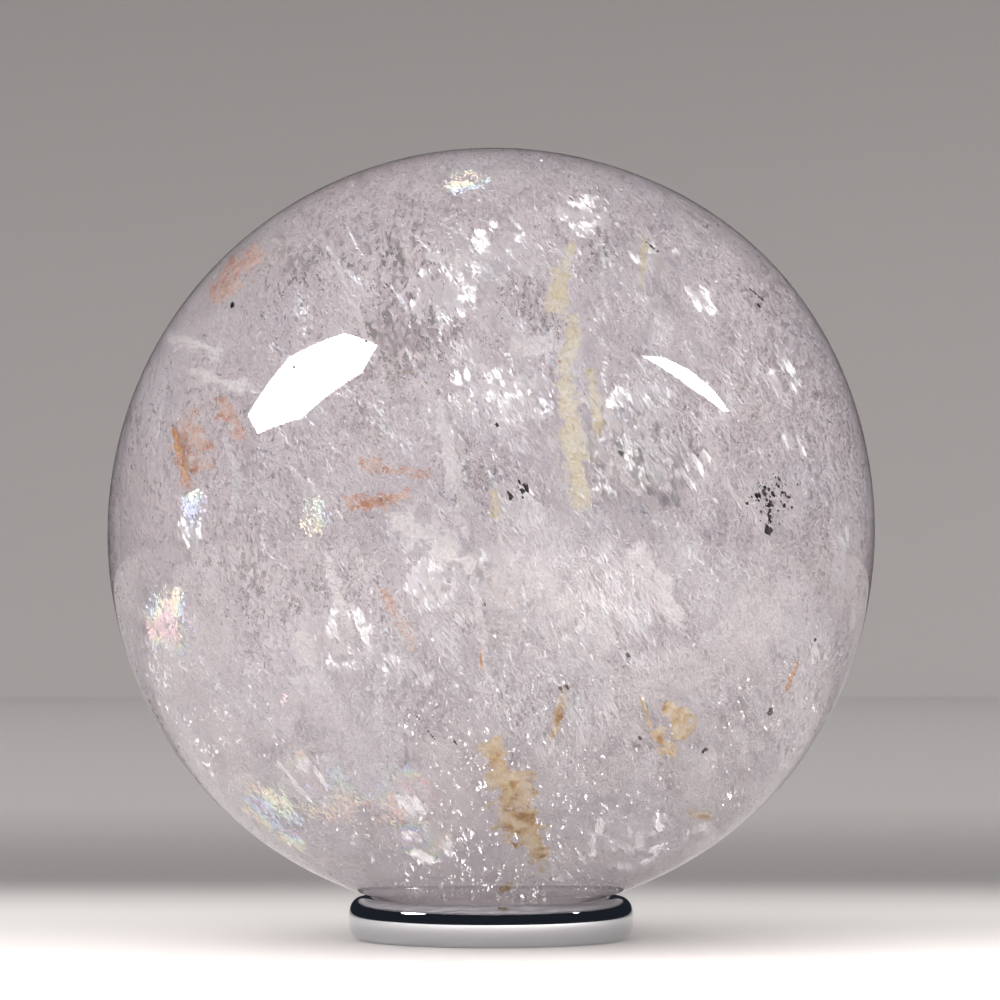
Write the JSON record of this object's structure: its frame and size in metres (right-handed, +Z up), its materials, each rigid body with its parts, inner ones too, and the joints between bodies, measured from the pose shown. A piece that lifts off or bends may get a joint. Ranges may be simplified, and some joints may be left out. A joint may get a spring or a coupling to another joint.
{
  "type": "quartz sphere on a ring stand",
  "caption": "Polished clear to milky quartz sphere with inner veils and clay stains, resting in a low rounded chromed metal ring stand.",
  "frame": {"origin": "on the surface that the part stands on, at the middle of the ring's foot", "axes": "+Z up, through the middle of the ring and the stone; the side that the picture shows faces -Y, and its right side is +X"},
  "size_m": [0.1022, 0.1023, 0.1054],
  "materials": {
    "quartz": "polished, see-through with milky veils",
    "chrome": "mirror polished"
  },
  "bodies": {
    "root": {"quartz_sphere": "quartz", "ring_stand": "chrome"}
  },
  "joints": []
}
